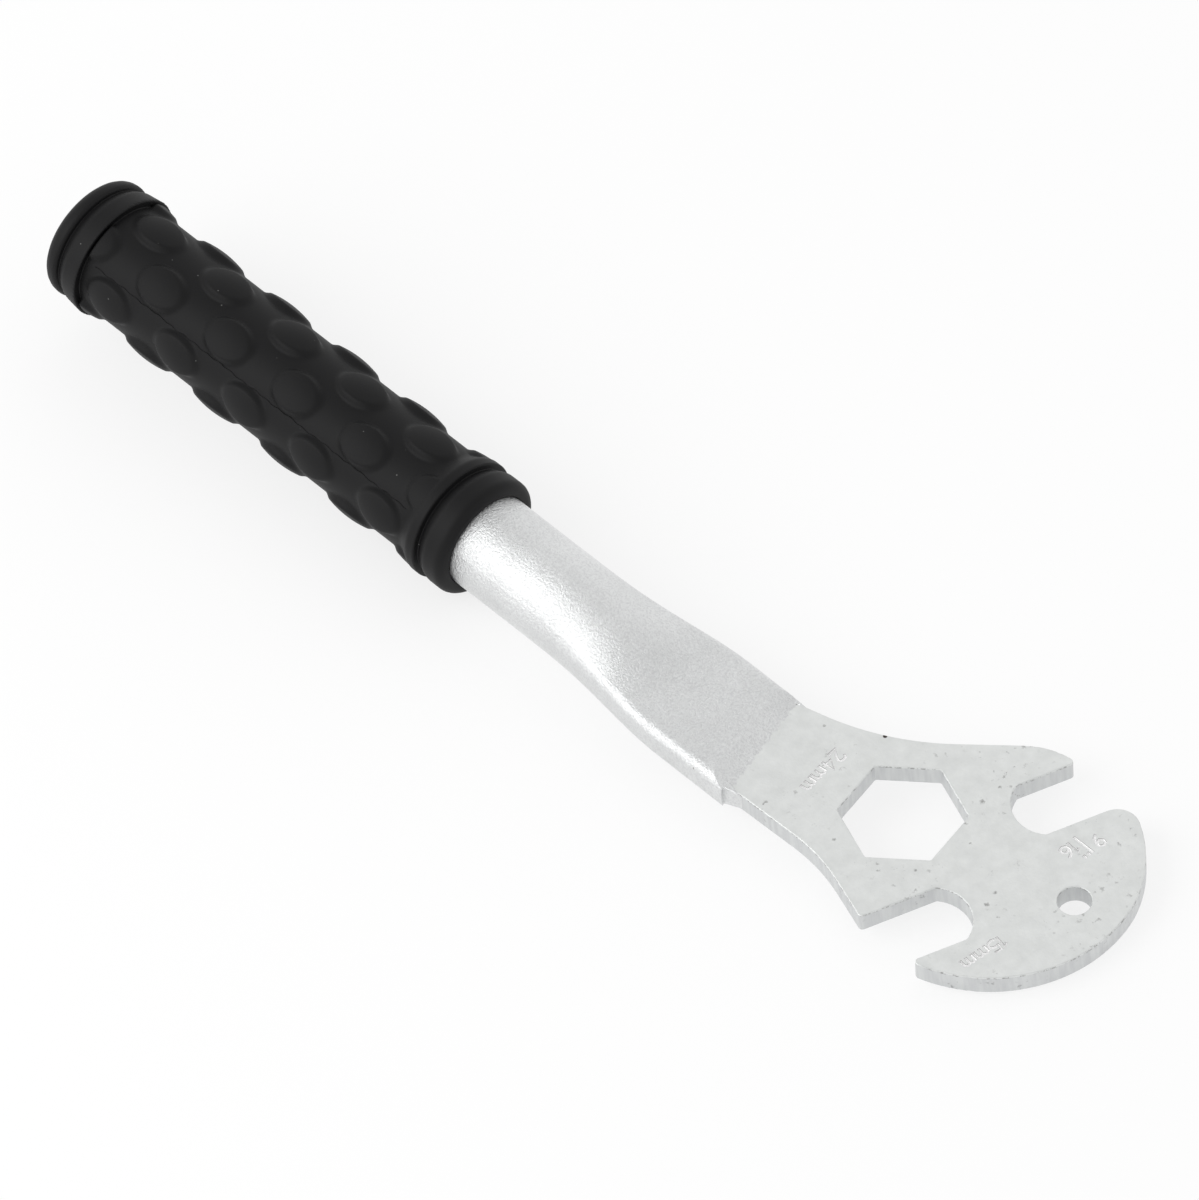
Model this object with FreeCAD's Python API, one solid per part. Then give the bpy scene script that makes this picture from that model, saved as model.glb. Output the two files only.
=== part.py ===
import FreeCAD, Part
import math
import os

# Pedal wrench, millimetres. Built in the wrench's own axes: +X runs along the
# handle towards the head, +Z leaves the top face of the head plate, and the
# origin is the centre of the 24 mm hexagon on that face. At the end the whole
# wrench is turned to lie at rest on the ground.

Vec = FreeCAD.Vector
UP = Vec(0, 0, 1)
ALONG = Vec(1, 0, 0)

# Head plate
plateThick = 5.0
edgeBreak = 0.3
cutSpare = 1.0
hexAcross = 24.2
hexCorner = 0.7
jawTurn = 20.0
hexTurn = 20.0
jaw15Wide = 15.15
jaw15Side = 28.64
jaw15Deep = 2.0
jaw15Sag = 4.1
jaw916Wide = 14.45
jaw916Side = 11.25
jaw916Deep = 20.8
jaw916Sag = 3.95
hangHoleR = 3.7
hangHoleX = 42.6
hangHoleY = 8.5

# Corners the outline of the head is drawn through, and how far they are rounded
waistUpX = -16.15
waistUpY = 10.78
waistUpR = 62.0
cheekUpX = 10.8
cheekUpY = 35.1
cheekUpR = 17.8
tipUpX = 21.0
frontUpX = 28.5
frontUpY = 36.3
frontUpR = 32.7
frontCornerX = 52.4
frontCornerY = 16.4
frontLowX = 24.0
frontLowY = -27.6
frontLowR = 33.2
frontMostX = 53.2
tipLowX = 17.5
tipLowY = -27.35
waistLowX = -5.0
waistLowY = -19.8
waistLowR = 46.0

# Rounded corners of the jaws
roundTip = 5.0
bluntTip = 1.0
jawFoot = 0.9

# Handle tube, pressed flat over the tail of the plate
tubeR = 11.1
tubeWall = 1.6
handleY = -8.23
flatWide = 28.5
flatCorner = 2.3
tailFit = 0.05
tailSideFit = 0.3
tailLong = 20.0
tailX = -37.0
noseRound = 5.0
tailStepBack = 1.3
tailStepLong = 2.5
tailStepOut = 1.5
tailStepR = 2.0
pressStartX = -98.0
pressLag = 4.0
pressWideEase = 1.35
pressHighEase = 1.5
pressSteps = 6
creaseX = -59.5
flatStartX = -52.0
tubeEndX = -35.4
tubeEndUpX = -38.8
tubeEndLowX = -31.9
tubeEndLean = 0.3
tubeEndLip = 0.3
tubeEndSlope = 3.4
flatSpare = 6.0

# Grip
gripFit = 0.05
gripMouthX = -116.3
gripLong = 125.1
capThick = 3.0
gripWall = 1.78
grooveWall = 1.15
lipRise = 1.64
mouthRise = 1.72
mouthCollarLong = 8.0
mouthRound = 2.2
mouthRest = 1.5
grooveWide = 1.3
grooveDraft = 0.2
lipLong = 2.2
lipFlare = 3.2
lipEdge = 0.35
lipBackR = 2.5
lipFootR = 4.0
buttRingRise = 1.42
buttRingLong = 4.2
buttRound = 3.1
buttStepRise = 1.97
buttStepLong = 5.4
buttStepEdge = 0.3
ringRound = 1.0

# Raised pads on the grip, in staggered rows
padRows = 8
padPitch = 20.95
padLong = 15.0
padWide = 9.6
padHigh = 1.42
padDraft = 1.5
padSink = 1.0
padEnd = 0.1
padLeast = 1.0
padToLip = 0.6
padFirstX = -211.2
padRowTurn = 28.0

tailWide = flatWide - 2 * tubeWall - 2 * tailSideFit
flatHigh = plateThick + 2 * tailFit + 2 * tubeWall
handleZ = -plateThick / 2
gripEndX = gripMouthX - gripLong
boreR = tubeR + gripFit
bodyR = boreR + gripWall
grooveR = boreR + grooveWall
lipR = bodyR + lipRise
mouthCollarR = bodyR + mouthRise
buttRingR = bodyR + buttRingRise
buttStepR = bodyR + buttStepRise


def arc(p, q, radius, side):
    """Arc edge from p to q; side is +1 when it bulges to the left of the way from p to q."""
    chord = q - p
    half = chord.Length / 2
    left = Vec(-chord.y, chord.x, 0).normalize()
    sag = radius - math.sqrt(radius * radius - half * half)
    mid = (p + q) * 0.5 + left * (sag * side)
    return Part.Arc(p, mid, q).toShape()


def line(p, q):
    return Part.makeLine(p, q)


def bowed(p, m, q):
    """Arc through three points, or a straight edge where they stand in line."""
    chord = (q - p).normalize()
    off = (m - p) - chord * (m - p).dot(chord)
    if off.Length < 1e-4:
        return line(p, q)
    return Part.Arc(p, m, q).toShape()


def prism(edges, low, high):
    """Solid between two heights over the outline made by the edges in order."""
    face = Part.Face(Part.Wire(edges))
    face.translate(Vec(0, 0, low))
    return face.extrude(Vec(0, 0, high - low))


jawAlong = Vec(math.sin(math.radians(jawTurn)), math.cos(math.radians(jawTurn)), 0)
jawAcross = Vec(jawAlong.y, -jawAlong.x, 0)


def jawPoint(across, along):
    """Point given across and along the jaws' own direction."""
    return jawAcross * across + jawAlong * along


def jawCut(side, wide, bottom, sag, way):
    """Open jaw: straight walls, a shallow round bottom, open past the plate."""
    far = bottom + way * 4 * jaw15Wide
    shoulder = bottom + way * sag
    a = jawPoint(side - wide / 2, far)
    b = jawPoint(side - wide / 2, shoulder)
    m = jawPoint(side, bottom)
    c = jawPoint(side + wide / 2, shoulder)
    d = jawPoint(side + wide / 2, far)
    edges = [line(a, b), Part.Arc(b, m, c).toShape(), line(c, d), line(d, a)]
    return prism(edges, -plateThick - cutSpare, cutSpare)


def hexCut():
    """Through hexagon with two flats square to the jaws, corners slightly rounded."""
    corner = hexAcross / math.sqrt(3)
    points = []
    for i in range(6):
        a = math.radians(hexTurn + jawTurn + 60 * i)
        points.append(Vec(corner * math.cos(a), corner * math.sin(a), 0))
    edges = [line(points[i], points[(i + 1) % 6]) for i in range(6)]
    solid = prism(edges, -plateThick - cutSpare, cutSpare)
    return solid.makeFillet(hexCorner, [e for x, y, e in uprights(solid)])


def uprights(solid):
    """The upright corner edges of a flat plate, each with its place."""
    found = []
    for e in solid.Edges:
        if len(e.Vertexes) != 2:
            continue
        a = e.Vertexes[0].Point
        b = e.Vertexes[1].Point
        if math.hypot(a.x - b.x, a.y - b.y) < 1e-6:
            found.append((a.x, a.y, e))
    return found


def uprightNear(solid, at):
    """The upright edge nearest to a point."""
    return min(uprights(solid), key=lambda u: math.hypot(u[0] - at.x, u[1] - at.y))[2]


def wallEnd(solid, across, way):
    """The upright edge at one end of a jaw wall: the outer end for the jaw's own way, else the inner."""
    wall = []
    for x, y, e in uprights(solid):
        at = Vec(x, y, 0)
        if abs(at.dot(jawAcross) - across) < 1e-4:
            wall.append((at.dot(jawAlong) * way, len(wall), e))
    return max(wall)[2]


def plateBlank():
    """Head blank from its outline: tail, waist, two cheeks and the round front."""
    upTail = handleY + tailWide / 2
    lowTail = handleY - tailWide / 2
    noseUp = Vec(tailX - tailLong, upTail, 0)
    noseLow = Vec(tailX - tailLong, lowTail, 0)
    stepUp = Vec(tailX - tailStepBack, upTail, 0)
    shoulderUp = stepUp + Vec(tailStepLong, tailStepOut, 0)
    stepLow = Vec(tailX, lowTail, 0)
    waistUp = Vec(waistUpX, waistUpY, 0)
    cheekUp = Vec(cheekUpX, cheekUpY, 0)
    tipUp = Vec(tipUpX, cheekUpY, 0)
    frontUp = Vec(frontUpX, frontUpY, 0)
    frontCorner = Vec(frontCornerX, frontCornerY, 0)
    frontLow = Vec(frontLowX, frontLowY, 0)
    tipLow = Vec(tipLowX, tipLowY, 0)
    waistLow = Vec(waistLowX, waistLowY, 0)
    edges = [
        line(noseLow, noseUp),
        line(noseUp, stepUp),
        line(stepUp, shoulderUp),
        line(shoulderUp, waistUp),
        line(waistUp, cheekUp),
        line(cheekUp, tipUp),
        line(tipUp, frontUp),
        arc(frontUp, frontCorner, frontUpR, 1),
        arc(frontCorner, frontLow, frontLowR, 1),
        line(frontLow, tipLow),
        line(tipLow, waistLow),
        line(waistLow, stepLow),
        line(stepLow, noseLow),
    ]
    plate = prism(edges, -plateThick, 0)
    for at, radius in ((waistUp, waistUpR), (cheekUp, cheekUpR), (waistLow, waistLowR),
                       (noseUp, noseRound), (noseLow, noseRound), (shoulderUp, tailStepR)):
        plate = plate.makeFillet(radius, [uprightNear(plate, at)])
    return plate


def headPlate():
    """Stamped head with jaws, hexagon and hang hole, and the tail that goes into the tube."""
    plate = plateBlank()
    plate = plate.cut(jawCut(jaw15Side, jaw15Wide, jaw15Deep, jaw15Sag, -1))
    plate = plate.cut(jawCut(jaw916Side, jaw916Wide, jaw916Deep, jaw916Sag, 1))
    walls = ((jaw15Side - jaw15Wide / 2, -1, bluntTip), (jaw15Side + jaw15Wide / 2, -1, bluntTip),
             (jaw916Side - jaw916Wide / 2, 1, bluntTip), (jaw916Side + jaw916Wide / 2, 1, roundTip))
    for across, way, tip in walls:
        plate = plate.makeFillet(tip, [wallEnd(plate, across, way)])
        plate = plate.makeFillet(jawFoot, [wallEnd(plate, across, -way)])
    plate = plate.cut(hexCut())
    foot = Vec(hangHoleX, hangHoleY, -plateThick - cutSpare)
    hole = Part.makeCylinder(hangHoleR, plateThick + 2 * cutSpare, foot)
    plate = plate.cut(hole)
    rims = [e for e in plate.Edges if e.BoundBox.ZLength < 1e-6]
    return plate.makeFillet(edgeBreak, rims)


def tubeRing(x, halfRound, wide, high, corner, tWide, tHigh):
    """Closed section of the tube at x, from a circle (t = 0) to a rounded flat box (t = 1).

    Eight edges: four sides and four corners, so that every section matches the next.
    """
    sideLong = wide - 2 * corner
    endLong = high - 2 * corner
    cornerLong = math.pi * corner / 2
    around = 2 * sideLong + 2 * endLong + 4 * cornerLong
    turn = 360.0 / around

    def onBox(run):
        # run starts at the middle of the top side and goes towards +Y
        run = run % around
        top = sideLong / 2
        if run <= top:
            return run, high / 2
        run -= top
        for cx, cz, a0, nxt, dx, dz in (
            (sideLong / 2, endLong / 2, 90, endLong, 0, -1),
            (sideLong / 2, -endLong / 2, 0, sideLong, -1, 0),
            (-sideLong / 2, -endLong / 2, -90, endLong, 0, 1),
            (-sideLong / 2, endLong / 2, -180, sideLong, 1, 0),
        ):
            if run <= cornerLong:
                a = math.radians(a0 - 90 * run / cornerLong)
                return cx + corner * math.cos(a), cz + corner * math.sin(a)
            run -= cornerLong
            a = math.radians(a0 - 90)
            if run <= nxt + 1e-9:
                return cx + corner * math.cos(a) + dx * run, cz + corner * math.sin(a) + dz * run
            run -= nxt
        return 0.0, high / 2

    def blend(run):
        by, bz = onBox(run)
        a = math.radians(90 - run * turn)
        cy, cz = halfRound * math.cos(a), halfRound * math.sin(a)
        return Vec(x, handleY + cy * (1 - tWide) + by * tWide, handleZ + cz * (1 - tHigh) + bz * tHigh)

    stops = [-sideLong / 2, sideLong / 2]
    for step in (cornerLong, endLong, cornerLong, sideLong, cornerLong, endLong, cornerLong):
        stops.append(stops[-1] + step)
    edges = [bowed(blend(a), blend((a + b) / 2), blend(b)) for a, b in zip(stops, stops[1:])]
    return Part.Wire(edges)


def tubeSolid(inset):
    """The tube's outside (inset 0) or its bore (inset = wall) as one solid."""
    r = tubeR - inset
    wide = flatWide - 2 * inset
    high = flatHigh - 2 * inset
    corner = flatCorner - inset

    def ease(s):
        s = max(0.0, min(1.0, s))
        return s * s * (3 - 2 * s)

    def ring(x):
        s = (x - pressStartX) / (flatStartX - pressStartX)
        tWide = ease(max(0.0, s) ** pressWideEase)
        down = (x - pressStartX - pressLag) / (creaseX - pressStartX - pressLag)
        tHigh = max(0.0, min(1.0, down)) ** pressHighEase
        return tubeRing(x, r, wide, high, corner, tWide, tHigh)

    buttX = gripEndX + capThick + gripFit
    butt = buttX - (cutSpare if inset else 0)
    back = Part.Face(ring(pressStartX))
    straight = back.extrude(Vec(butt - pressStartX, 0, 0))
    long = creaseX - pressStartX
    press = [ring(pressStartX + long * i / pressSteps) for i in range(pressSteps + 1)]
    settle = [ring(creaseX + (flatStartX - creaseX) * i / 2) for i in range(3)]
    transition = Part.makeLoft(press, True, False)
    settling = Part.makeLoft(settle, True, False)
    front = Part.Face(ring(flatStartX))
    flat = front.extrude(Vec(tubeEndLowX + flatSpare - flatStartX, 0, 0))
    return straight.fuse([transition, settling, flat])


def endOutline(back, z):
    """Outline of all that lies past the tube's bowed end, with the bow moved back along the handle."""
    up = Vec(tubeEndUpX - back, handleY + flatWide / 2, z)
    mid = Vec(tubeEndX - back, handleY, z)
    low = Vec(tubeEndLowX - back, handleY - flatWide / 2, z)
    upOut = up + Vec(-tubeEndLean, tubeR, 0)
    lowOut = low + Vec(tubeEndLean, -tubeR, 0)
    farUp = Vec(0, upOut.y, z)
    farLow = Vec(0, lowOut.y, z)
    return Part.Wire([line(upOut, up), Part.Arc(up, mid, low).toShape(), line(low, lowOut),
                      line(lowOut, farLow), line(farLow, farUp), line(farUp, upOut)])


def handleTube():
    """Round tube, open at both ends, pressed flat over the plate's tail; its bowed end thins to a lip."""
    tube = tubeSolid(0).cut(tubeSolid(tubeWall))
    beyond = Part.Face(endOutline(0, handleZ - 2 * tubeR)).extrude(Vec(0, 0, 4 * tubeR))
    foot = handleZ + flatHigh / 2 - tubeWall + tubeEndLip
    rise = 2 * tubeWall
    back = tubeEndSlope * rise / (tubeWall - tubeEndLip)
    wedge = Part.makeLoft([endOutline(0, foot), endOutline(back, foot + rise)], True, True)
    under = wedge.mirror(Vec(0, 0, handleZ), UP)
    return tube.cut([beyond, wedge, under])


def turned(points, rounds):
    """Solid of revolution about the handle axis from (x, r) points; rounds[i] rounds corner i."""
    pts = [Vec(x, 0, r) for x, r in points]
    count = len(pts)
    edges = []
    starts = []
    ends = []
    for i in range(count):
        here = pts[i]
        before = pts[i - 1]
        after = pts[(i + 1) % count]
        r = rounds.get(i, 0)
        if r:
            u = (before - here).normalize()
            v = (after - here).normalize()
            half = math.acos(max(-1, min(1, u.dot(v)))) / 2
            reach = r / math.tan(half)
            a = here + u * reach
            b = here + v * reach
            bis = (u + v).normalize()
            m = here + bis * (r / math.sin(half) - r)
            starts.append(a)
            ends.append(b)
            edges.append((i, Part.Arc(a, m, b).toShape()))
        else:
            starts.append(here)
            ends.append(here)
    outline = []
    arcs = dict(edges)
    for i in range(count):
        if i in arcs:
            outline.append(arcs[i])
        a = ends[i]
        b = starts[(i + 1) % count]
        if (b - a).Length > 1e-6:
            outline.append(line(a, b))
    face = Part.Face(Part.Wire(outline))
    solid = face.revolve(Vec(0, 0, 0), ALONG, 360)
    solid.translate(Vec(0, handleY, handleZ))
    return solid


def gripCore():
    """The moulded sleeve without its pads: collar, groove and lip at each end, a closed butt."""
    mouth = gripMouthX
    butt = gripEndX
    collarBack = mouth - mouthCollarLong
    lipFront = collarBack - grooveWide
    lipBack = lipFront - lipLong
    ringFront = butt + buttRingLong
    stepBack = ringFront + grooveWide
    stepFront = stepBack + buttStepLong
    points = [
        (mouth, boreR),
        (mouth, mouthCollarR),
        (collarBack, mouthCollarR),
        (collarBack - grooveDraft, grooveR),
        (lipFront + grooveDraft, grooveR),
        (lipFront, lipR),
        (lipBack, lipR),
        (lipBack - lipFlare, bodyR),
        (stepFront + 2 * grooveDraft, bodyR),
        (stepFront, buttStepR),
        (stepBack, buttRingR - grooveDraft / 2),
        (stepBack - grooveDraft, grooveR),
        (ringFront + grooveDraft, grooveR),
        (ringFront, buttRingR),
        (butt, buttRingR),
        (butt, 0),
        (butt + capThick, 0),
        (butt + capThick, boreR),
    ]
    rounds = {1: mouthRound, 2: ringRound, 5: lipEdge, 6: lipBackR, 7: lipFootR, 9: buttStepEdge,
              10: ringRound, 13: ringRound, 14: buttRound}
    return turned(points, rounds)


def padRing(x):
    """Barrel shaped swelling round the body at x; the pads are cut out of it."""
    half = padLong / 2
    low = Vec(x - half, 0, bodyR)
    high = Vec(x + half, 0, bodyR)
    top = Vec(x, 0, bodyR + padHigh)
    inA = Vec(x - half, 0, bodyR - padSink)
    inB = Vec(x + half, 0, bodyR - padSink)
    edges = [Part.Arc(low, top, high).toShape(), line(high, inB), line(inB, inA), line(inA, low)]
    solid = Part.Face(Part.Wire(edges)).revolve(Vec(0, 0, 0), ALONG, 360)
    solid.translate(Vec(0, handleY, handleZ))
    return solid


def padPlug(x, turn):
    """Tapered oval plug standing on the handle axis, as wide as one pad."""
    rings = []
    for r, spare in ((bodyR - 2 * padSink, padDraft), (bodyR + padHigh + padSink, -padDraft)):
        oval = Part.Ellipse(Vec(0, 0, 0), padLong / 2 + padEnd + spare / 2, padWide / 2 + spare)
        wire = Part.Wire(oval.toShape())
        wire.translate(Vec(x, 0, r))
        rings.append(wire)
    plug = Part.makeLoft(rings, True, True)
    plug.rotate(Vec(0, 0, 0), ALONG, turn)
    plug.translate(Vec(0, handleY, handleZ))
    return plug


def grip():
    """Rubber grip with its staggered rows of raised oval pads."""
    core = gripCore()
    firstX = gripEndX + buttRingLong + grooveWide + buttStepLong - 2 * grooveDraft
    lastX = gripMouthX - mouthCollarLong - grooveWide - padToLip
    pads = []
    for phase in (0, 1):
        start = padFirstX + (padPitch / 2 if phase else 0)
        first = math.ceil((firstX - padLong / 2 + padLeast - start) / padPitch)
        last = math.floor((lastX + padLong / 2 - padLeast - start) / padPitch)
        for i in range(first, last + 1):
            x = start + i * padPitch
            ring = padRing(x)
            if x - padLong / 2 < firstX or x + padLong / 2 > lastX:
                keep = Part.makeCylinder(2 * bodyR, lastX - firstX, Vec(firstX, handleY, handleZ), ALONG)
                ring = ring.common(keep)
            for row in range(phase, padRows, 2):
                turn = padRowTurn + row * 360.0 / padRows
                pads.append(ring.common(padPlug(x, turn)))
    return core.fuse(pads).removeSplitter()


def restTurn():
    """Pitch that brings the mouth collar and the head's tip down to the same ground."""
    collarX = gripMouthX - mouthRound - mouthRest
    collarZ = handleZ - mouthCollarR
    return math.degrees(math.atan2(-plateThick - collarZ, frontMostX - collarX))


def main():
    nodes = {"head_plate": headPlate(), "handle_tube": handleTube(), "grip": grip()}
    pitch = restTurn()
    for shape in nodes.values():
        shape.rotate(Vec(0, 0, 0), Vec(0, 1, 0), pitch)
    box = FreeCAD.BoundBox()
    for shape in nodes.values():
        box.add(shape.optimalBoundingBox(False))
    shift = Vec(-(box.XMin + box.XMax) / 2, -(box.YMin + box.YMax) / 2, -box.ZMin)
    os.makedirs("parts", exist_ok=True)
    for name, shape in nodes.items():
        shape.translate(shift)
        shape.exportStep("parts/%s.step" % name)
        print(name, "valid", shape.isValid(), "solids", len(shape.Solids), "faces", len(shape.Faces),
              "volume %.1f" % shape.Volume)
    place = FreeCAD.Placement(Vec(0, 0, 0), FreeCAD.Rotation(Vec(0, 1, 0), pitch))
    print("pitch %.4f" % pitch, "shift", [round(v, 4) for v in shift], "size", round(box.XLength, 3),
          round(box.YLength, 3), round(box.ZLength, 3))
    axis = place.multVec(UP)
    print("plate normal", [round(v, 5) for v in axis])
    marks = {
        "hang_hole": Vec(hangHoleX, hangHoleY, -plateThick / 2),
        "hex_socket": Vec(0, 0, -plateThick / 2),
        "jaw_15": jawPoint(jaw15Side, jaw15Deep - jaw15Sag - jaw15Wide / 2) + Vec(0, 0, -plateThick / 2),
        "jaw_9_16": jawPoint(jaw916Side, jaw916Deep + jaw916Sag + jaw916Wide / 2) + Vec(0, 0, -plateThick / 2),
        "grip_middle": Vec(gripMouthX - gripLong / 2, handleY, handleZ),
    }
    for name, at in marks.items():
        print(name, [round(v, 3) for v in place.multVec(at) + shift])


main()
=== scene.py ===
import bmesh
import bpy
import math
from mathutils import Euler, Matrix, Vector


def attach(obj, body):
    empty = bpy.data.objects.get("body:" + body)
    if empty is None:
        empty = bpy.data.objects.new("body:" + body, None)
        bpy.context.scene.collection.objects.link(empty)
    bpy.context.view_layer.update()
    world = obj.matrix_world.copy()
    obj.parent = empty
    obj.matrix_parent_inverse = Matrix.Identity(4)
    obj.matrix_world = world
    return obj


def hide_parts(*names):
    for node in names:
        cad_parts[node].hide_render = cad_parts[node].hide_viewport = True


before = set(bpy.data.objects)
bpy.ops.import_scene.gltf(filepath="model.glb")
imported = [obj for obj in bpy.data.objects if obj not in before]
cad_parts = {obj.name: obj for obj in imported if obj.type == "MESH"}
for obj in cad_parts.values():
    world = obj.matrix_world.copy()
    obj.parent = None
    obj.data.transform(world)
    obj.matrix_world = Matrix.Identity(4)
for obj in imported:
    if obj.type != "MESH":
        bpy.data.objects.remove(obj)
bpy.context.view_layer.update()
mm = 0.001

# The wrench lies tilted a little: the head's flat face is turned from level about Y.
# Places are given in mm from the middle of the hexagon on the top face: x to the front, y across, z up.
head = {
    "tilt": math.radians(4.0127),
    "hexCentre": Vector((93.84, -4.3109, 8.8209)) * mm,
}
headTurn = Euler((0, head["tilt"], 0)).to_matrix()


def onHead(x, y, z=0.0):
    return headTurn @ (Vector((x, y, z)) * mm) + head["hexCentre"]


def smoothStep(low, high, value):
    t = min(1.0, max(0.0, (value - low) / (high - low)))
    return t * t * (3 - 2 * t)


# materials

def newMaterial(name):
    mat = bpy.data.materials.new(name)
    mat.use_nodes = True
    return mat, mat.node_tree.nodes, mat.node_tree.links


def wire(links, source, target):
    links.new(source, target)


def addNoise(nodes, links, coord, scale, detail=2.0, rough=0.5, stretch=None):
    noise = nodes.new("ShaderNodeTexNoise")
    noise.inputs["Scale"].default_value = scale
    noise.inputs["Detail"].default_value = detail
    noise.inputs["Roughness"].default_value = rough
    if stretch:
        squeeze = nodes.new("ShaderNodeMapping")
        squeeze.inputs["Scale"].default_value = stretch
        wire(links, coord, squeeze.inputs["Vector"])
        coord = squeeze.outputs["Vector"]
    wire(links, coord, noise.inputs["Vector"])
    return noise.outputs["Fac"]


def addRamp(nodes, links, source, stops):
    ramp = nodes.new("ShaderNodeValToRGB")
    bar = ramp.color_ramp
    while len(bar.elements) < len(stops):
        bar.elements.new(0.5)
    for element, (place, grey) in zip(bar.elements, stops):
        element.position = place
        element.color = (grey, grey, grey, 1)
    wire(links, source, ramp.inputs["Fac"])
    return ramp.outputs["Color"]


def addMath(nodes, links, kind, a, b=None, clamp=False):
    step = nodes.new("ShaderNodeMath")
    step.operation = kind
    step.use_clamp = clamp
    for slot, value in ((0, a), (1, b)):
        if value is None:
            continue
        if isinstance(value, (int, float)):
            step.inputs[slot].default_value = value
        else:
            wire(links, value, step.inputs[slot])
    return step.outputs[0]


def addCloud(nodes, links, coord, scale, detail, rough, stops):
    # a noise spread by a ramp
    return addRamp(nodes, links, addNoise(nodes, links, coord, scale, detail, rough), stops)


def addLevel(nodes, links, depth, share, stops):
    # a ramp over the depth below the top face
    return addRamp(nodes, links, addMath(nodes, links, "MULTIPLY", depth, share, True), stops)


def addMix(nodes, links, factor, a, b):
    mix = nodes.new("ShaderNodeMix")
    mix.data_type = "RGBA"
    wire(links, factor, mix.inputs["Factor"])
    for slot, value in (("A", a), ("B", b)):
        socket = mix.inputs[6 if slot == "A" else 7]
        if isinstance(value, tuple):
            socket.default_value = value
        else:
            wire(links, value, socket)
    return mix.outputs[2]


def addBump(nodes, links, height, strength, depth):
    bump = nodes.new("ShaderNodeBump")
    bump.inputs["Strength"].default_value = strength
    bump.inputs["Distance"].default_value = depth * mm
    wire(links, height, bump.inputs["Height"])
    return bump.outputs["Normal"]


def addSpots(nodes, links, coord, spots, soft=0.35):
    # 1 inside each spot (x, y, z in mm from the hexagon, radius in mm), 0 away from all of them
    total = None
    for x, y, z, radius in spots:
        away = nodes.new("ShaderNodeVectorMath")
        away.operation = "DISTANCE"
        wire(links, coord, away.inputs[0])
        away.inputs[1].default_value = onHead(x, y, z)
        inside = nodes.new("ShaderNodeMapRange")
        inside.inputs["From Min"].default_value = radius * mm
        inside.inputs["From Max"].default_value = radius * soft * mm
        wire(links, away.outputs["Value"], inside.inputs["Value"])
        found = inside.outputs[0]
        total = found if total is None else addMath(nodes, links, "MAXIMUM", total, found)
    return total


plateFinish = {
    "pale": (0.84, 0.855, 0.845, 1),
    "dull": (0.74, 0.755, 0.745, 1),
    "darkening": (0.06, 0.05, 0.045, 1),
    "rough": 0.40,
    "cloudGrain": 260.0, "fleckGrain": 640.0, "patchGrain": 85.0, "nickGrain": 800.0, "streakGrain": 900.0,
    "grain": 1500.0, "bump": 0.22, "deep": 0.12,
    # the specks' edges are stirred by a fine noise, by so many mm
    "stirGrain": 1600.0, "stirWide": 1.1, "speckShare": 0.55,
    # x, y, z, radius of the specks and pits that stand out
    "specks": [
        (10.0, 19.0, 0.0, 0.5), (10.0, 13.7, 0.0, 0.7), (29.0, -1.5, 0.0, 0.5), (30.0, -5.0, 0.0, 0.65),
        (-5.5, -15.0, 0.0, 0.45), (12.8, -9.0, 0.0, 0.5), (-23.0, -18.0, 0.0, 0.5), (-31.5, 7.0, 0.0, 0.5),
        (-23.1, -18.6, 0.0, 0.4), (-36.3, 0.5, 0.0, 0.5), (-28.5, 5.0, 0.0, 0.4), (16.0, 4.0, 0.0, 0.4),
    ],
    "spot": (-17.2, 11.9, -0.1, 0.55),
    "rimDeep": 0.42,
    # painted highlight: colour of the bottom of the stamped strokes
    "strokeHighlight": (1.0, 1.0, 1.0, 1),
    "brightMetal": 0.35,
    # colour of the painted shade on the cut walls
    "wall": (0.66, 0.67, 0.675, 1),
    "rimRough": 0.62,
}


def addDepth(nodes, links, coord):
    # how far a place lies below the plate's top face, in mm
    away = nodes.new("ShaderNodeVectorMath")
    away.operation = "SUBTRACT"
    wire(links, coord, away.inputs[0])
    away.inputs[1].default_value = head["hexCentre"]
    along = nodes.new("ShaderNodeVectorMath")
    along.operation = "DOT_PRODUCT"
    wire(links, away.outputs["Vector"], along.inputs[0])
    along.inputs[1].default_value = headTurn @ Vector((0, 0, -1000))
    return along.outputs["Value"]


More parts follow.
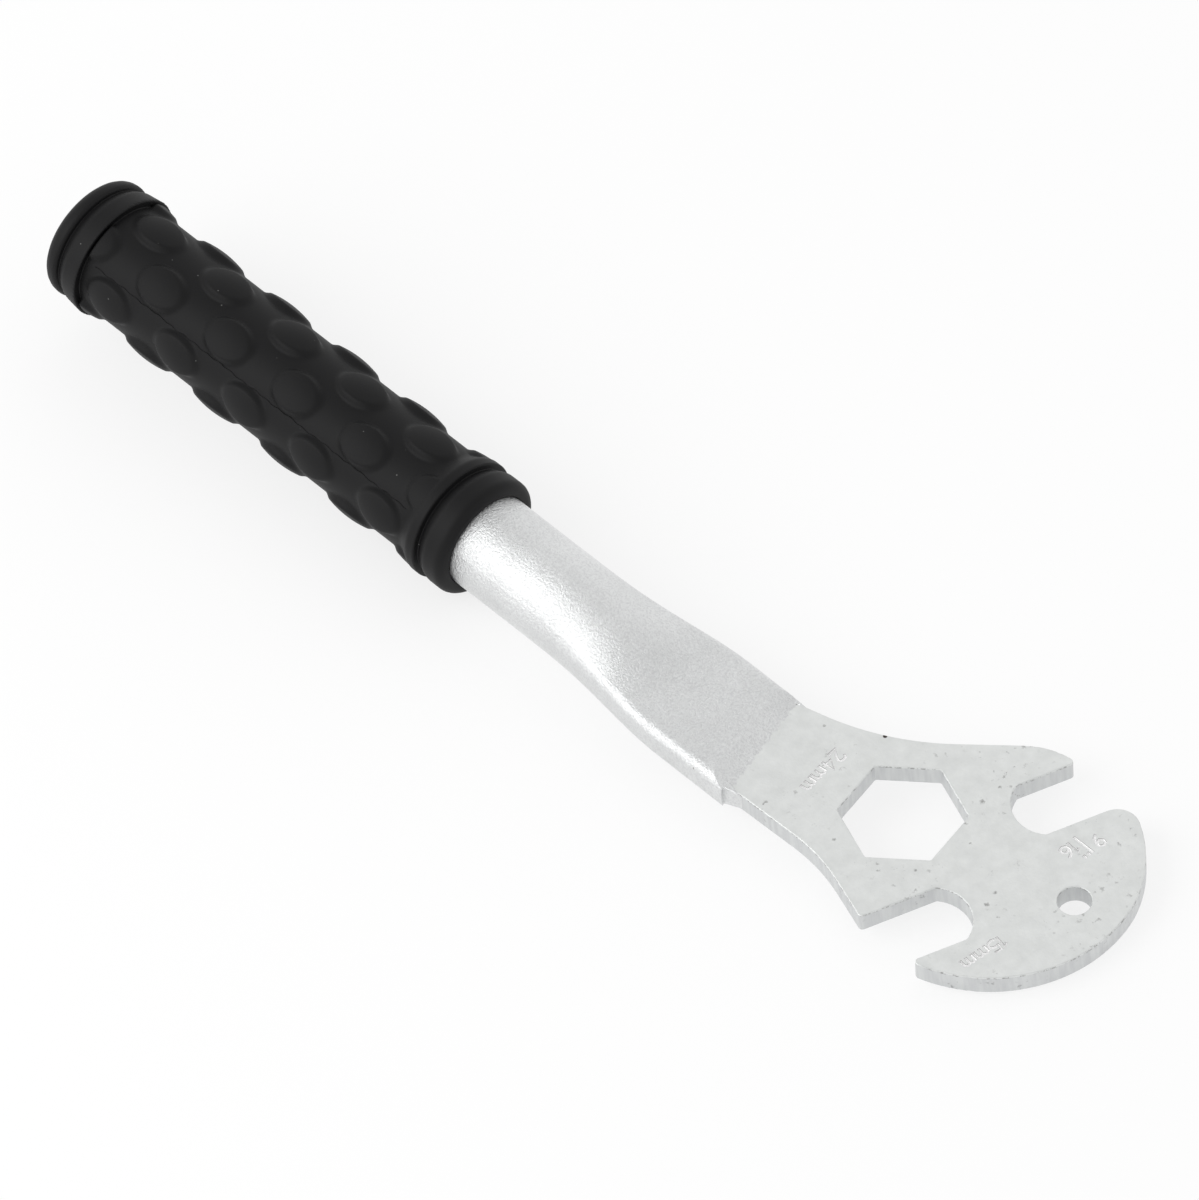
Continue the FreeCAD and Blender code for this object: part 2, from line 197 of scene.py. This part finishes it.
def makePlateSteel(name="plateSteel", cut=False):
    mat, nodes, links = newMaterial(name)
    bsdf = nodes["Principled BSDF"]
    bsdf.inputs["Metallic"].default_value = 1.0
    coord = nodes.new("ShaderNodeTexCoord").outputs["Object"]
    depth = addDepth(nodes, links, coord)
    finish = plateFinish
    cloud = addCloud(nodes, links, coord, finish["cloudGrain"], 5.0, 0.65, [(0.30, 0.0), (0.75, 1.0)])
    colour = addMix(nodes, links, cloud, finish["pale"], finish["dull"])
    fleck = addCloud(nodes, links, coord, finish["fleckGrain"], 3.0, 0.6, [(0.62, 0.0), (0.74, 0.5)])
    patch = addCloud(nodes, links, coord, finish["patchGrain"], 1.0, 0.5, [(0.48, 0.0), (0.66, 1.0)])
    small = addMath(nodes, links, "MULTIPLY", fleck, patch)
    # the specks get ragged edges from a fine noise added to the place
    stir = nodes.new("ShaderNodeTexNoise")
    stir.inputs["Scale"].default_value = finish["stirGrain"]
    wire(links, coord, stir.inputs["Vector"])
    shake = nodes.new("ShaderNodeVectorMath")
    shake.operation = "MULTIPLY_ADD"
    wire(links, stir.outputs["Color"], shake.inputs[0])
    shake.inputs[1].default_value = [finish["stirWide"] * mm] * 3
    wire(links, coord, shake.inputs[2])
    back = nodes.new("ShaderNodeVectorMath")
    back.operation = "SUBTRACT"
    wire(links, shake.outputs["Vector"], back.inputs[0])
    back.inputs[1].default_value = [finish["stirWide"] / 2 * mm] * 3
    ragged = back.outputs["Vector"]
    big = addSpots(nodes, links, ragged, finish["specks"], 0.2)
    big = addMath(nodes, links, "MULTIPLY", big, finish["speckShare"])
    spot = addSpots(nodes, links, coord, [finish["spot"]], 0.75)
    darkening = addMath(nodes, links, "MAXIMUM", addMath(nodes, links, "MAXIMUM", small, big), spot)
    # grime and nicks just under the rims
    band = addLevel(nodes, links, depth, 1.0 / finish["rimDeep"], [(0.08, 0.0), (0.45, 1.0)])
    below = addLevel(nodes, links, depth, 0.5 / finish["rimDeep"], [(0.40, 1.0), (0.62, 0.0)])
    nick = addCloud(nodes, links, coord, finish["nickGrain"], 4.0, 0.75, [(0.50, 0.0), (0.60, 0.5)])
    rim = addMath(nodes, links, "MULTIPLY", addMath(nodes, links, "MULTIPLY", band, below), nick)
    # painted shade: the cut walls are painted a little darker, broken up by streaks across the thickness
    wall = addLevel(nodes, links, depth, 1.0, [(0.15, 0.0), (0.40, 1.0)])
    lines = addNoise(nodes, links, coord, finish["streakGrain"], 2.0, 0.5, (1, 1, 0.1))
    streak = addRamp(nodes, links, lines, [(0.35, 0.55), (0.65, 1.0)])
    shade = addMath(nodes, links, "MULTIPLY", wall, streak)
    colour = addMix(nodes, links, shade, colour, finish["wall"])
    # the rims and walls are duller than the top
    soft = nodes.new("ShaderNodeMapRange")
    soft.inputs["To Min"].default_value = finish["rough"]
    soft.inputs["To Max"].default_value = finish["rimRough"]
    under = addLevel(nodes, links, depth, 1.0, [(0.0, 0.0), (0.03, 1.0)])
    wire(links, under, soft.inputs["Value"])
    wire(links, soft.outputs[0], bsdf.inputs["Roughness"])
    if cut:
        # painted highlight and painted shade: a stamped stroke is painted bright at its bottom and dark at
        # its edge
        darkening = addLevel(nodes, links, depth, 4.0, [(0.30, 0.8), (0.50, 0.0)])
        colour = finish["strokeHighlight"]
        bsdf.inputs["Metallic"].default_value = finish["brightMetal"]
    else:
        darkening = addMath(nodes, links, "MAXIMUM", darkening, rim)
    # the dark colour marks specks, dirt and rim nicks on the plate, and is painted shade at the stamped
    # strokes' edges
    colour = addMix(nodes, links, darkening, colour, finish["darkening"])
    wire(links, colour, bsdf.inputs["Base Color"])
    grain = addNoise(nodes, links, coord, finish["grain"], 3.0, 0.6)
    normal = addBump(nodes, links, grain, finish["bump"], finish["deep"])
    wire(links, normal, bsdf.inputs["Normal"])
    return mat


tubeFinish = {
    "pale": (0.84, 0.85, 0.85, 1),
    "dull": (0.76, 0.77, 0.77, 1),
    "rough": 0.31,
    "cloudGrain": 60.0, "wornGrain": 2400.0,
    "grain": 2000.0, "bump": 1.0, "deep": 0.27,
    "sand": (0.62, 0.62, 0.63, 1),
    "darkening": (0.10, 0.085, 0.07, 1),
    # pits along the lower edge near the tube's end
    "specks": [
        (-49.6, -21.0, 0.3, 0.40), (-47.4, -21.4, 0.2, 0.35), (-43.7, -21.1, 0.4, 0.40),
        (-37.7, -23.5, -0.6, 0.50), (-35.3, -23.2, -0.8, 0.40), (-40.3, -22.4, 0.2, 0.35),
    ],
}


def makeTubeSteel():
    mat, nodes, links = newMaterial("tubeSteel")
    bsdf = nodes["Principled BSDF"]
    bsdf.inputs["Metallic"].default_value = 1.0
    finish = tubeFinish
    bsdf.inputs["Roughness"].default_value = finish["rough"]
    coord = nodes.new("ShaderNodeTexCoord").outputs["Object"]
    cloud = addCloud(nodes, links, coord, finish["cloudGrain"], 4.0, 0.6, [(0.35, 0.0), (0.7, 1.0)])
    colour = addMix(nodes, links, cloud, finish["pale"], finish["dull"])
    sand = addCloud(nodes, links, coord, finish["grain"], 2.0, 0.6, [(0.38, 0.45), (0.56, 0.0)])
    colour = addMix(nodes, links, sand, colour, finish["sand"])
    worn = addCloud(nodes, links, coord, finish["wornGrain"], 2.0, 0.6, [(0.38, 0.0), (0.55, 0.8)])
    pits = addMath(nodes, links, "MULTIPLY", addSpots(nodes, links, coord, finish["specks"]), worn)
    wire(links, addMix(nodes, links, pits, colour, finish["darkening"]), bsdf.inputs["Base Color"])
    grain = addNoise(nodes, links, coord, finish["grain"], 3.0, 0.65)
    normal = addBump(nodes, links, grain, finish["bump"], finish["deep"])
    wire(links, normal, bsdf.inputs["Normal"])
    return mat


rubberFinish = {
    "base": (0.0058, 0.0058, 0.0062, 1),
    "dust": (0.13, 0.13, 0.125, 1),
    "rough": 0.55,
    "shine": 0.2,
    # dust grains: cells of a pattern, core and edge of a grain, and the share of cells without one
    "dustGrain": 420.0, "dustCore": 0.045, "dustEdge": 0.085, "dustFree": 0.86,
    "grain": 1700.0, "bump": 0.35, "deep": 0.05,
}


def makeRubber():
    mat, nodes, links = newMaterial("gripRubber")
    bsdf = nodes["Principled BSDF"]
    finish = rubberFinish
    bsdf.inputs["Roughness"].default_value = finish["rough"]
    bsdf.inputs["Specular IOR Level"].default_value = finish["shine"]
    coord = nodes.new("ShaderNodeTexCoord").outputs["Object"]
    speck = nodes.new("ShaderNodeTexVoronoi")
    speck.inputs["Scale"].default_value = finish["dustGrain"]
    wire(links, coord, speck.inputs["Vector"])
    grains = [(finish["dustCore"], 1.0), (finish["dustEdge"], 0.0)]
    near = addRamp(nodes, links, speck.outputs["Distance"], grains)
    split = nodes.new("ShaderNodeSeparateColor")
    wire(links, speck.outputs["Color"], split.inputs["Color"])
    some = [(finish["dustFree"], 0.0), (finish["dustFree"] + 0.02, 1.0)]
    few = addRamp(nodes, links, split.outputs["Red"], some)
    dust = addMath(nodes, links, "MULTIPLY", near, few)
    wire(links, addMix(nodes, links, dust, finish["base"], finish["dust"]), bsdf.inputs["Base Color"])
    grain = addNoise(nodes, links, coord, finish["grain"], 3.0, 0.6)
    wire(links, addBump(nodes, links, grain, finish["bump"], finish["deep"]), bsdf.inputs["Normal"])
    return mat


plateSteel = makePlateSteel()
stampSteel = makePlateSteel("stampSteel", True)
tubeSteel = makeTubeSteel()
gripRubber = makeRubber()
print("materials done")


def newPiece(name, verts, faces, mat):
    mesh = bpy.data.meshes.new(name)
    mesh.from_pydata(verts, [], faces)
    mesh.materials.append(mat)
    piece = bpy.data.objects.new(name, mesh)
    bpy.context.scene.collection.objects.link(piece)
    return piece


# handle tube: the solid as it is, with the plated finish

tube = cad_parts["handle_tube"]
tube.data.materials.clear()
tube.data.materials.append(tubeSteel)


# grip

sleeve = {
    "axisY": -8.23, "axisZ": -2.5,
    "mouth": -117.5, "butt": -241.4, "bore": 11.15,
    "body": 12.93, "neck": 13.1, "wallLean": 0.25,
    "mouthCollar": 14.3, "mouthRound": 2.1, "mouthNeck": 2.7,
    "lip": 14.57, "lipFront": -125.6, "lipLong": 2.2, "lipFlare": 3.2,
    "buttRing": 14.35, "buttRingLong": 4.2, "buttRound": 3.1, "buttNeck": 2.3,
    "buttStep": 14.85, "buttStepLong": 6.7, "ragged": 0.09,
    "cap": 3.0,
    "around": 240, "step": 0.5,
    "padLong": 15.0, "padWide": 9.6, "padHigh": 1.42, "padEdge": 0.25, "padSoft": 1.3,
    "padPitch": 20.95, "padFirst": -211.2, "padTurn": 28.0, "padRows": 8,
}


def roundedOutline(points, rounds, parts=6):
    # (x, r) corners with some of them rounded, as a finer run of points
    run = []
    count = len(points)
    for i, here in enumerate(points):
        here = Vector(here)
        r = rounds.get(i, 0)
        if not r:
            run.append(tuple(here))
            continue
        u = (Vector(points[i - 1]) - here).normalized()
        v = (Vector(points[(i + 1) % count]) - here).normalized()
        half = math.acos(max(-1, min(1, u.dot(v)))) / 2
        centre = here + (u + v).normalized() * (r / math.sin(half))
        a = here + u * (r / math.tan(half)) - centre
        b = here + v * (r / math.tan(half)) - centre
        sweep = a.angle_signed(b)
        for k in range(parts + 1):
            t = -sweep * k / parts
            x = centre.x + a.x * math.cos(t) - a.y * math.sin(t)
            y = centre.y + a.x * math.sin(t) + a.y * math.cos(t)
            run.append((x, y))
    return run


def padRise(x, turn):
    # height of the raised oval pads above the body at a place along and round the grip
    s = sleeve
    best = 0.0
    gap = 360.0 / s["padRows"]
    row = round((turn - s["padTurn"]) / gap)
    for near in (row - 1, row, row + 1):
        start = s["padFirst"] + (s["padPitch"] / 2 if near % 2 else 0)
        along = (x - start + s["padPitch"] / 2) % s["padPitch"] - s["padPitch"] / 2
        across = math.radians(turn - s["padTurn"] - near * gap) * s["body"]
        u = along / (s["padLong"] / 2)
        v = across / (s["padWide"] / 2 + 0.35)
        out = math.hypot(u, v)
        if out >= 1:
            continue
        crown = s["padEdge"] + (s["padHigh"] - s["padEdge"]) * (1 - u * u)
        inward = (1 - out) * s["padWide"] / 2
        best = max(best, crown * smoothStep(0, s["padSoft"], inward))
    return best


def makeGrip():
    s = sleeve
    mouth, butt = s["mouth"], s["butt"]
    lipFront = s["lipFront"]
    lipBack = lipFront - s["lipLong"]
    ringFront = butt + s["buttRingLong"]
    stepFront = ringFront + s["buttStepLong"]
    # each collar falls steeply to a narrow neck and rises from it in a gentle slope
    outer = [
        (mouth, s["bore"]), (mouth, s["mouthCollar"]),
        (lipFront + s["mouthNeck"], s["mouthCollar"] - 0.05),
        (lipFront + s["wallLean"], s["neck"]), (lipFront, s["lip"]),
        (lipBack, s["lip"]), (lipBack - s["lipFlare"], s["body"]),
        (stepFront - s["wallLean"], s["body"]), (stepFront, s["buttStep"]),
        (ringFront + s["buttNeck"], s["buttRing"] - 0.05), (ringFront + s["wallLean"], s["neck"]),
        (ringFront, s["buttRing"]), (butt, s["buttRing"]), (butt, 0.0), (butt + s["cap"], 0.0),
        (butt + s["cap"], s["bore"]),
    ]
    rounds = {0: 0.3, 1: s["mouthRound"], 2: 3.0, 3: 0.2, 4: 0.4, 5: 2.4, 6: 4.0, 7: 0.2, 8: 0.25,
              9: 3.0, 10: 0.2, 11: 0.9, 12: s["buttRound"]}
    outline = roundedOutline(outer, rounds)
    # the body gets closer rings, for the pads
    run = []
    for (xa, ra), (xb, rb) in zip(outline, outline[1:] + outline[:1]):
        run.append((xa, ra))
        long = math.hypot(xb - xa, rb - ra)
        if ra > s["bore"] + 0.5 and rb > s["bore"] + 0.5 and long > s["step"]:
            parts = math.ceil(long / s["step"])
            run += [(xa + (xb - xa) * k / parts, ra + (rb - ra) * k / parts) for k in range(1, parts)]
    around = s["around"]
    verts, rings = [], []
    padFrom, padTo = stepFront + 0.1, lipFront - 0.5
    for x, r in run:
        if r < 1e-6:
            rings.append([len(verts)])
            verts.append(onHead(x, s["axisY"], s["axisZ"]))
            continue
        ring = []
        for k in range(around):
            turn = 360.0 * k / around
            radius = r
            if padFrom < x < padTo and r > s["bore"] + 0.5:
                radius = max(r, s["body"] + padRise(x, turn))
            if abs(x - stepFront) < 0.4 and r > s["buttStep"] - 0.5:
                # the moulding flash along the step's edge is a little ragged
                radius += s["ragged"] * (math.sin(turn * 0.33) * math.sin(turn * 1.7) - 0.3)
            a = math.radians(turn)
            ring.append(len(verts))
            verts.append(onHead(x, s["axisY"] - radius * math.sin(a), s["axisZ"] + radius * math.cos(a)))
        rings.append(ring)
    faces = []
    for ring, after in zip(rings, rings[1:] + rings[:1]):
        if len(ring) == 1 and len(after) == 1:
            continue
        for k in range(around):
            m = (k + 1) % around
            if len(after) == 1:
                faces.append((ring[k], after[0], ring[m]))
            elif len(ring) == 1:
                faces.append((ring[0], after[k], after[m]))
            else:
                faces.append((ring[k], after[k], after[m], ring[m]))
    grip = newPiece("moulded_grip", verts, faces, gripRubber)
    for f in grip.data.polygons:
        f.use_smooth = True
    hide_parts("grip")
    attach(grip, "root")
    return grip


grip = makeGrip()
print("grip done", len(grip.data.polygons))


seam = {
    "turns": (51.0, 231.0), "half": 0.16, "high": 0.13, "sink": 0.12,
    "from": -126.6, "to": -228.6, "step": 0.7,
}


def makeSeam(turn):
    # the thin flash that the mould's parting line leaves along the grip
    s = sleeve
    verts, faces = [], []
    count = int((seam["from"] - seam["to"]) / seam["step"])
    for i in range(count + 1):
        x = seam["from"] - i * seam["step"]
        base = max(s["body"] + padRise(x, turn), s["body"])
        wob = 0.12 * math.sin(x * 1.7) + 0.08 * math.sin(x * 0.61)
        half, sink = seam["half"], seam["sink"]
        for across, rise in ((-half, -sink), (0.0, seam["high"]), (half, -sink)):
            a = math.radians(turn) + (across + wob) / s["body"]
            r = base + rise
            verts.append(onHead(x, s["axisY"] - r * math.sin(a), s["axisZ"] + r * math.cos(a)))
    for i in range(count):
        for k in range(3):
            m = (k + 1) % 3
            faces.append((3 * i + k, 3 * i + m, 3 * i + 3 + m, 3 * i + 3 + k))
    faces += [(0, 2, 1), (3 * count, 3 * count + 1, 3 * count + 2)]
    strip = newPiece("mould_line_%d" % int(turn), verts, faces, gripRubber)
    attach(strip, "root")
    return strip


for turn in seam["turns"]:
    makeSeam(turn)
print("mould lines done")


# head plate with its stamped sizes

stamp = {"stroke": 0.35, "sink": 0.06}

# strokes of the figures on a card one unit high
figures = {
    "1": (0.42, [[(0.10, 0.78), (0.30, 1.0), (0.30, 0.0)]]),
    "2": (0.72, [[(0.06, 0.78), (0.16, 0.95), (0.34, 1.0), (0.52, 0.92), (0.56, 0.72), (0.42, 0.45),
                  (0.05, 0.0), (0.60, 0.0)]]),
    "4": (0.74, [[(0.46, 0.0), (0.46, 1.0), (0.03, 0.30), (0.64, 0.30)]]),
    "5": (0.70, [[(0.55, 1.0), (0.12, 1.0), (0.08, 0.56), (0.30, 0.62), (0.52, 0.50), (0.58, 0.28),
                  (0.45, 0.06), (0.22, 0.0), (0.04, 0.10)]]),
    "6": (0.70, [[(0.52, 0.96), (0.24, 0.80), (0.07, 0.45), (0.09, 0.14), (0.30, 0.0), (0.52, 0.10),
                  (0.57, 0.32), (0.42, 0.52), (0.20, 0.48), (0.08, 0.32)]]),
    "9": (0.70, [[(0.10, 0.04), (0.38, 0.20), (0.55, 0.55), (0.53, 0.86), (0.32, 1.0), (0.10, 0.90),
                  (0.05, 0.68), (0.20, 0.48), (0.42, 0.52), (0.54, 0.68)]]),
    "m": (0.88, [[(0.04, 0.0), (0.04, 0.66)], [(0.04, 0.50), (0.20, 0.66), (0.38, 0.52), (0.38, 0.0)],
                 [(0.38, 0.52), (0.54, 0.66), (0.72, 0.52), (0.72, 0.0)]]),
    "|": (0.30, [[(0.15, -0.15), (0.15, 1.25)]]),
    "'": (0.16, [[(0.06, 0.78), (0.06, 1.10)]]),
}

# each mark: text, x and y of its first corner, height, run to the side per mm, lean
marks = [
    {"text": "24mm", "x": -22.6, "y": 2.4, "high": 3.3, "wide": 1.22, "lean": -8.0},
    {"text": "15mm", "x": 37.6, "y": -8.6, "high": 3.1, "wide": 1.30, "lean": 6.0},
    {"text": "9", "x": 33.3, "y": 24.4, "high": 3.4, "wide": 1.05, "lean": 0.0},
    {"text": "|", "x": 31.2, "y": 21.0, "high": 4.2, "wide": 1.0, "lean": 0.0},
    {"text": "16", "x": 30.7, "y": 19.4, "high": 3.3, "wide": 1.15, "lean": 0.0},
    {"text": "''", "x": 33.2, "y": 19.9, "high": 3.0, "wide": 2.4, "lean": 0.0},
]


def makeStampTool():
    # one mesh of round strokes lying in the plate's face; it is cut out of the plate
    curve = bpy.data.curves.new("stampStrokes", "CURVE")
    curve.dimensions = "3D"
    curve.bevel_depth = stamp["stroke"] * mm
    curve.bevel_resolution = 3
    curve.use_fill_caps = True
    for mark in marks:
        run = 0.0
        lean = math.radians(mark["lean"])
        for letter in mark["text"]:
            wide, strokes = figures[letter]
            for stroke in strokes:
                spline = curve.splines.new("POLY")
                spline.points.add(len(stroke) - 1)
                for point, (across, up) in zip(spline.points, stroke):
                    a = run + across * mark["high"] * mark["wide"]
                    b = up * mark["high"]
                    x = mark["x"] + b * math.cos(lean) - a * math.sin(lean)
                    y = mark["y"] - a * math.cos(lean) - b * math.sin(lean)
                    point.co = (*onHead(x, y, stamp["sink"]), 1)
            run += wide * mark["high"] * mark["wide"]
    tool = bpy.data.objects.new("stampTool", curve)
    bpy.context.scene.collection.objects.link(tool)
    made = tool.evaluated_get(bpy.context.evaluated_depsgraph_get())
    solid = bpy.data.meshes.new_from_object(made)
    bpy.data.objects.remove(tool)
    solid.materials.clear()
    solid.materials.append(stampSteel)
    cutter = bpy.data.objects.new("stampCutter", solid)
    bpy.context.scene.collection.objects.link(cutter)
    return cutter


def makePlate():
    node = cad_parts["head_plate"]
    mesh = node.data.copy()
    clean = bmesh.new()
    clean.from_mesh(mesh)
    bmesh.ops.remove_doubles(clean, verts=clean.verts, dist=1e-6)
    clean.to_mesh(mesh)
    clean.free()
    mesh.materials.clear()
    mesh.materials.append(plateSteel)
    plate = bpy.data.objects.new("stamped_plate", mesh)
    bpy.context.scene.collection.objects.link(plate)
    cutter = makeStampTool()
    cut = plate.modifiers.new("sizes", "BOOLEAN")
    cut.operation = "DIFFERENCE"
    cut.solver = "EXACT"
    cut.use_self = True
    cut.material_mode = "TRANSFER"
    cut.object = cutter
    bpy.context.view_layer.update()
    made = plate.evaluated_get(bpy.context.evaluated_depsgraph_get())
    done = bpy.data.meshes.new_from_object(made)
    plate.modifiers.clear()
    plate.data = done
    bpy.data.objects.remove(cutter)
    up = headTurn @ Vector((0, 0, 1))
    done.set_sharp_from_angle(angle=math.radians(28))
    for f in done.polygons:
        f.use_smooth = abs(f.normal.dot(up)) < 0.9999
    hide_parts("head_plate")
    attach(plate, "root")
    return plate


plate = makePlate()
print("plate done", len(plate.data.polygons))


tubeEnd = {
    "up": (-38.8, 6.02), "mid": (-35.4, -8.23), "low": (-31.9, -22.48),
    "trim": 0.9, "lip": 0.36, "back": 1.2, "ahead": 1.6, "steps": 60,
}


def makeEndBlend():
    # the plating runs over the thin end of the tube onto the plate as a soft ramp
    t = tubeEnd
    verts, faces = [], []
    for i in range(t["steps"] + 1):
        y = t["up"][1] - t["trim"] + (t["low"][1] - t["up"][1] + 2 * t["trim"]) * i / t["steps"]
        # parabola through the three places of the bowed end
        k = (y - t["mid"][1]) / (t["up"][1] - t["mid"][1])
        rise = (t["up"][0] - t["low"][0]) / 2
        bow = (t["up"][0] + t["low"][0]) / 2 - t["mid"][0]
        x = t["mid"][0] + rise * k + bow * k * k
        wob = 0.25 * math.sin(y * 1.9) + 0.18 * math.sin(y * 4.3 + 1.0)
        for dx, z in ((-t["back"], 0.55), (-0.4, t["lip"] + 0.06), (0.15, t["lip"] - 0.04),
                      (t["ahead"] + wob, 0.005), (t["ahead"] + wob, -0.02), (-t["back"], -0.02)):
            verts.append(onHead(x + dx, y, z))
    for i in range(t["steps"]):
        for k in range(6):
            m = (k + 1) % 6
            faces.append((6 * i + k, 6 * i + 6 + k, 6 * i + 6 + m, 6 * i + m))
    last = 6 * t["steps"]
    faces += [(0, 1, 2, 3, 4, 5), tuple(last + k for k in range(5, -1, -1))]
    blend = newPiece("plating_over_tube_end", verts, faces, tubeSteel)
    for f in blend.data.polygons:
        f.use_smooth = len(f.vertices) == 4
    blend.data.set_sharp_from_angle(angle=math.radians(40))
    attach(blend, "root")
    return blend


makeEndBlend()


def makeCornerFill(name, plan, back, front):
    # plating and scale that fills the corner between the tube's end and the plate's edge
    verts = [onHead(x, y, z) for k in (1, 0) for (x, y), z in zip(plan, (back[k], front[k], back[k]))]
    faces = [(0, 1, 2), (5, 4, 3), (0, 3, 4, 1), (1, 4, 5, 2), (2, 5, 3, 0)]
    fill = newPiece(name, verts, faces, tubeSteel)
    soft = fill.modifiers.new("soft", "BEVEL")
    soft.width = 0.45 * mm
    soft.segments = 4
    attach(fill, "root")
    return fill


# plan corners: outside of the tube, ahead on the plate's edge, inside of the tube;
# then (low, high) at the tube's end and at the corner ahead
makeCornerFill("fill_low", [(-34.0, -22.4), (-27.4, -20.2), (-34.0, -19.6)], (-5.6, 0.75), (-4.8, -0.25))
makeCornerFill("fill_up", [(-41.0, 5.95), (-33.4, 6.05), (-41.0, 3.6)], (-5.6, 0.5), (-4.8, -0.3))
print("tube end done")


# floor and light

studio = {
    "floor": 4.0,
    "floorColour": (1.0, 1.0, 1.0, 1),
    "white": 0.74,
    "skyLow": 0.97,
    "skyHigh": 0.56,
    "leftPower": 6.6,
    "topPower": 1.9,
}


def makeFloor():
    bpy.ops.mesh.primitive_plane_add(size=studio["floor"], location=(0, 0, -0.2 * mm))
    floor = bpy.context.object
    floor.name = "floor"
    mat, nodes, links = newMaterial("paleFloor")
    nodes.remove(nodes["Principled BSDF"])
    matt = nodes.new("ShaderNodeBsdfDiffuse")
    matt.inputs["Color"].default_value = studio["floorColour"]
    glow = nodes.new("ShaderNodeEmission")
    ray = nodes.new("ShaderNodeLightPath")
    seen = addMath(nodes, links, "MAXIMUM", ray.outputs["Is Camera Ray"], ray.outputs["Is Glossy Ray"])
    seen = addMath(nodes, links, "MAXIMUM", seen, ray.outputs["Is Transmission Ray"])
    share = addMath(nodes, links, "MULTIPLY", seen, studio["white"])
    mix = nodes.new("ShaderNodeMixShader")
    wire(links, share, mix.inputs[0])
    wire(links, matt.outputs[0], mix.inputs[1])
    wire(links, glow.outputs[0], mix.inputs[2])
    wire(links, mix.outputs[0], nodes["Material Output"].inputs["Surface"])
    floor.data.materials.append(mat)
    return floor


def makeSky():
    world = bpy.data.worlds.new("studioSky")
    bpy.context.scene.world = world
    world.use_nodes = True
    nodes, links = world.node_tree.nodes, world.node_tree.links
    way = nodes.new("ShaderNodeSeparateXYZ")
    wire(links, nodes.new("ShaderNodeTexCoord").outputs["Generated"], way.inputs[0])
    low, high = studio["skyLow"], studio["skyHigh"]
    tone = addRamp(nodes, links, way.outputs["Z"], [(0.35, low), (0.82, high)])
    wire(links, tone, nodes["Background"].inputs["Color"])


def softCard(name, place, aim, wide, high, power):
    data = bpy.data.lights.new(name, "AREA")
    data.shape = "RECTANGLE"
    data.size = wide
    data.size_y = high
    data.energy = power
    card = bpy.data.objects.new(name, data)
    bpy.context.scene.collection.objects.link(card)
    card.location = place
    card.rotation_euler = (Vector(aim) - Vector(place)).to_track_quat("-Z", "Y").to_euler()
    return card


makeFloor()
makeSky()
softCard("leftBox", (-0.50, -0.85, 0.82), (0, 0, 0), 1.25, 0.95, studio["leftPower"])
softCard("topBox", (-0.15, 0.85, 1.45), (0, 0, 0), 1.7, 0.9, studio["topPower"])
print("studio done")

# camera

camera = {
    "place": (2.21369, -1.76198, 3.21291),
    "turn": (41.1327, 5.1059, 45.7128),
    "lens": 600.0,
    "film": 36.0,
}


def makeCamera():
    data = bpy.data.cameras.new("camera")
    data.sensor_fit = "VERTICAL"
    data.sensor_height = camera["film"]
    data.lens = camera["lens"]
    data.clip_end = 20
    cam = bpy.data.objects.new("camera", data)
    bpy.context.scene.collection.objects.link(cam)
    cam.location = camera["place"]
    cam.rotation_euler = [math.radians(a) for a in camera["turn"]]
    bpy.context.scene.camera = cam


makeCamera()
bpy.context.scene.view_settings.view_transform = "Standard"


print("camera done")
